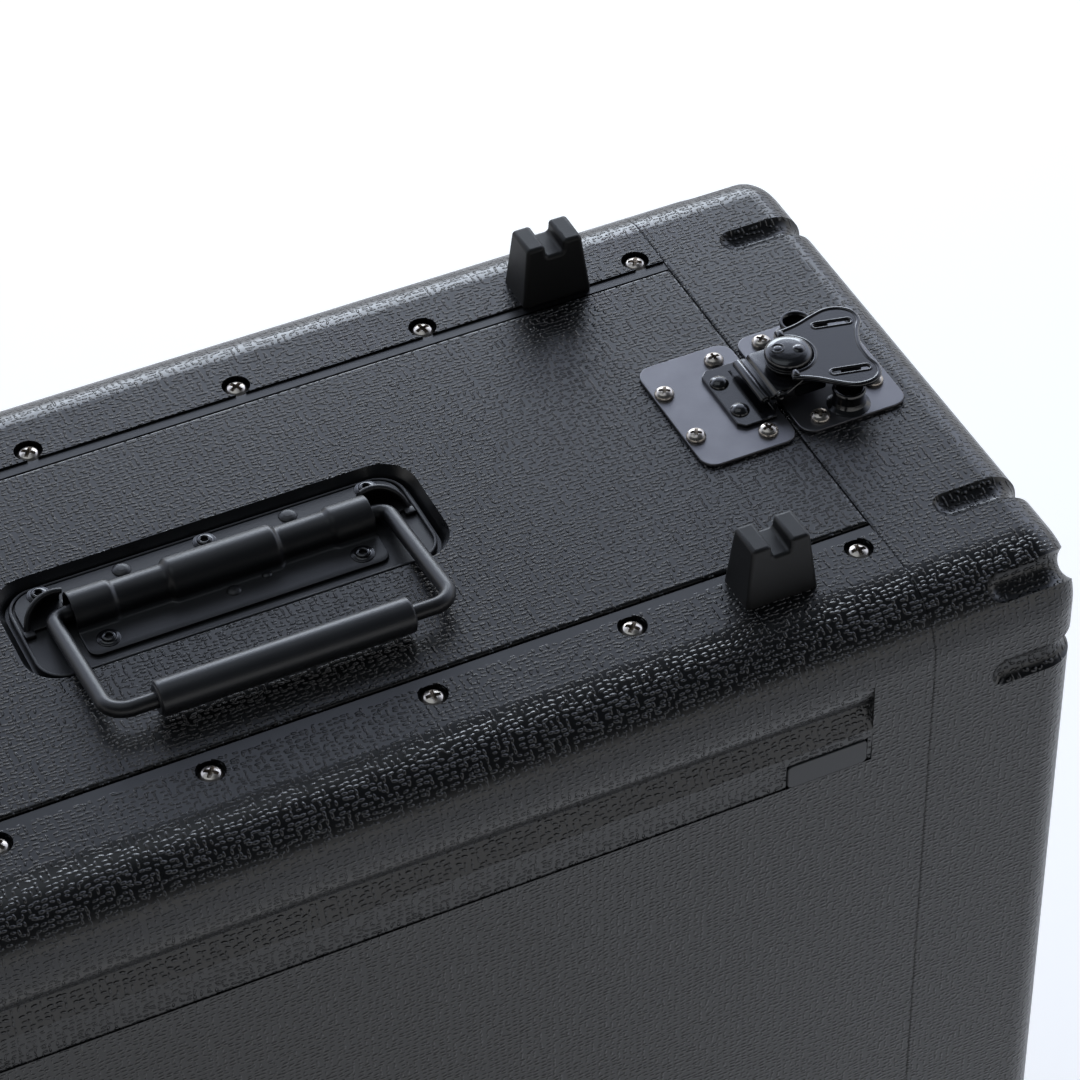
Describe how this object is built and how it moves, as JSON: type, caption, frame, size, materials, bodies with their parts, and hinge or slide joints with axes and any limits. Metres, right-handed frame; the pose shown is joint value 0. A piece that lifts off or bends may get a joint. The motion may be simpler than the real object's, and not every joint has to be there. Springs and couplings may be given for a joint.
{
  "type": "rack case",
  "caption": "Moulded transport case for 19-inch rack equipment, with lift-off front and rear lids, twist latches, sprung bail handles and stacking feet.",
  "frame": {"origin": "on the floor under the middle of the body, with the case standing on the feet of its lower handle face", "axes": "+Z is the outward normal of the upper handle face, +X points to the front lid, +Y runs across the handle face"},
  "size_m": [0.5566, 0.2618, 0.57],
  "materials": {
    "shell_abs": "grained moulding, satin",
    "panel_abs": "deep grained moulding, satin",
    "board": "sealed plywood",
    "rim_metal": "mill finish",
    "rail_steel": "black powder coat",
    "nickel_screw": "bright nickel",
    "rubber": "matt",
    "pad": "smooth",
    "black_steel": "satin black plating",
    "grip_plastic": "satin",
    "spring_steel": "oiled"
  },
  "bodies": {
    "case": {"top_shell": "shell_abs", "bottom_shell": "shell_abs", "upper_panel": "panel_abs", "lower_panel": "panel_abs", "upper_board": "board", "lower_board": "board", "front_rim": "rim_metal", "rear_rim": "rim_metal", "front_upper_rail": "rail_steel", "front_lower_rail": "rail_steel", "rear_upper_rail": "rail_steel", "rear_lower_rail": "rail_steel", "rail_screws": "nickel_screw", "shell_screws": "nickel_screw", "stacking_pads": "pad", "upper_feet": "rubber", "lower_feet": "rubber", "upper_handle_base": "black_steel", "upper_handle_cover": "black_steel", "lower_handle_base": "black_steel", "lower_handle_cover": "black_steel", "handle_springs": "spring_steel", "handle_rivets": "nickel_screw", "keeper_fasteners": "nickel_screw", "front_upper_keeper_plate": "black_steel", "front_upper_strike": "black_steel", "front_lower_keeper_plate": "black_steel", "front_lower_strike": "black_steel", "rear_upper_keeper_plate": "black_steel", "rear_upper_strike": "black_steel", "rear_lower_keeper_plate": "black_steel", "rear_lower_strike": "black_steel"},
    "front_lid": {"front_lid": "shell_abs", "front_seal": "rubber", "front_latch_screws": "nickel_screw", "front_upper_latch_plate": "black_steel", "front_lower_latch_plate": "black_steel"},
    "rear_lid": {"rear_lid": "shell_abs", "rear_seal": "rubber", "rear_latch_screws": "nickel_screw", "rear_upper_latch_plate": "black_steel", "rear_lower_latch_plate": "black_steel"},
    "front_upper_knob": {"front_upper_knob": "black_steel"},
    "front_upper_wing": {"front_upper_wing": "black_steel"},
    "front_upper_hook": {"front_upper_hook": "black_steel"},
    "front_lower_knob": {"front_lower_knob": "black_steel"},
    "front_lower_wing": {"front_lower_wing": "black_steel"},
    "front_lower_hook": {"front_lower_hook": "black_steel"},
    "rear_upper_knob": {"rear_upper_knob": "black_steel"},
    "rear_upper_wing": {"rear_upper_wing": "black_steel"},
    "rear_upper_hook": {"rear_upper_hook": "black_steel"},
    "rear_lower_knob": {"rear_lower_knob": "black_steel"},
    "rear_lower_wing": {"rear_lower_wing": "black_steel"},
    "rear_lower_hook": {"rear_lower_hook": "black_steel"},
    "upper_bail": {"upper_bail": "black_steel", "upper_grip": "grip_plastic"},
    "lower_bail": {"lower_bail": "black_steel", "lower_grip": "grip_plastic"}
  },
  "joints": [
    {"name": "front_lid_off", "type": "slide", "parent": "case", "child": "front_lid", "axis": [1, 0, 0], "range_m": [0, 0.06]},
    {"name": "rear_lid_off", "type": "slide", "parent": "case", "child": "rear_lid", "axis": [-1, 0, 0], "range_m": [0, 0.06]},
    {"name": "front_upper_knob_turn", "type": "hinge", "parent": "front_lid", "child": "front_upper_knob", "pos_m": [0.225, 0, 0.545], "axis": [0, 0, 1], "range_deg": [0, 180]},
    {"name": "front_upper_wing_flip", "type": "hinge", "parent": "front_upper_knob", "child": "front_upper_wing", "pos_m": [0.225, 0, 0.559], "axis": [-0.225, -0.9744, 0], "range_deg": [0, 90]},
    {"name": "front_upper_hook_release", "type": "slide", "parent": "front_lid", "child": "front_upper_hook", "axis": [-0.9285, 0, 0.3714], "range_m": [0, 0.00539]},
    {"name": "front_lower_knob_turn", "type": "hinge", "parent": "front_lid", "child": "front_lower_knob", "pos_m": [0.225, 0, 0.025], "axis": [0, 0, -1], "range_deg": [0, 180]},
    {"name": "front_lower_wing_flip", "type": "hinge", "parent": "front_lower_knob", "child": "front_lower_wing", "pos_m": [0.225, 0, 0.011], "axis": [0.225, 0.9744, 0], "range_deg": [0, 90]},
    {"name": "front_lower_hook_release", "type": "slide", "parent": "front_lid", "child": "front_lower_hook", "axis": [-0.9285, 0, -0.3714], "range_m": [0, 0.00539]},
    {"name": "rear_upper_knob_turn", "type": "hinge", "parent": "rear_lid", "child": "rear_upper_knob", "pos_m": [-0.225, 0, 0.545], "axis": [0, 0, 1], "range_deg": [0, 180]},
    {"name": "rear_upper_wing_flip", "type": "hinge", "parent": "rear_upper_knob", "child": "rear_upper_wing", "pos_m": [-0.225, 0, 0.559], "axis": [-0.225, 0.9744, 0], "range_deg": [0, 90]},
    {"name": "rear_upper_hook_release", "type": "slide", "parent": "rear_lid", "child": "rear_upper_hook", "axis": [0.9285, 0, 0.3714], "range_m": [0, 0.00539]},
    {"name": "rear_lower_knob_turn", "type": "hinge", "parent": "rear_lid", "child": "rear_lower_knob", "pos_m": [-0.225, 0, 0.025], "axis": [0, 0, -1], "range_deg": [0, 180]},
    {"name": "rear_lower_wing_flip", "type": "hinge", "parent": "rear_lower_knob", "child": "rear_lower_wing", "pos_m": [-0.225, 0, 0.011], "axis": [0.225, -0.9744, 0], "range_deg": [0, 90]},
    {"name": "rear_lower_hook_release", "type": "slide", "parent": "rear_lid", "child": "rear_lower_hook", "axis": [0.9285, 0, -0.3714], "range_m": [0, 0.00539]},
    {"name": "upper_bail_lift", "type": "hinge", "parent": "case", "child": "upper_bail", "pos_m": [0, 0.003, 0.5448], "axis": [-1, 0, 0], "range_deg": [0, 82.6], "stiffness_Nm_per_rad": 0.05, "springref_deg": -57.3},
    {"name": "lower_bail_lift", "type": "hinge", "parent": "case", "child": "lower_bail", "pos_m": [0, 0.003, 0.0252], "axis": [1, 0, 0], "range_deg": [0, 82.6], "stiffness_Nm_per_rad": 0.05, "springref_deg": -57.3}
  ],
  "couplings": [
    {"joint": "front_upper_hook_release", "follows": "front_upper_knob_turn", "m_per_rad": 0.0017141},
    {"joint": "front_lower_hook_release", "follows": "front_lower_knob_turn", "m_per_rad": 0.0017141},
    {"joint": "rear_upper_hook_release", "follows": "rear_upper_knob_turn", "m_per_rad": 0.0017141},
    {"joint": "rear_lower_hook_release", "follows": "rear_lower_knob_turn", "m_per_rad": 0.0017141}
  ]
}
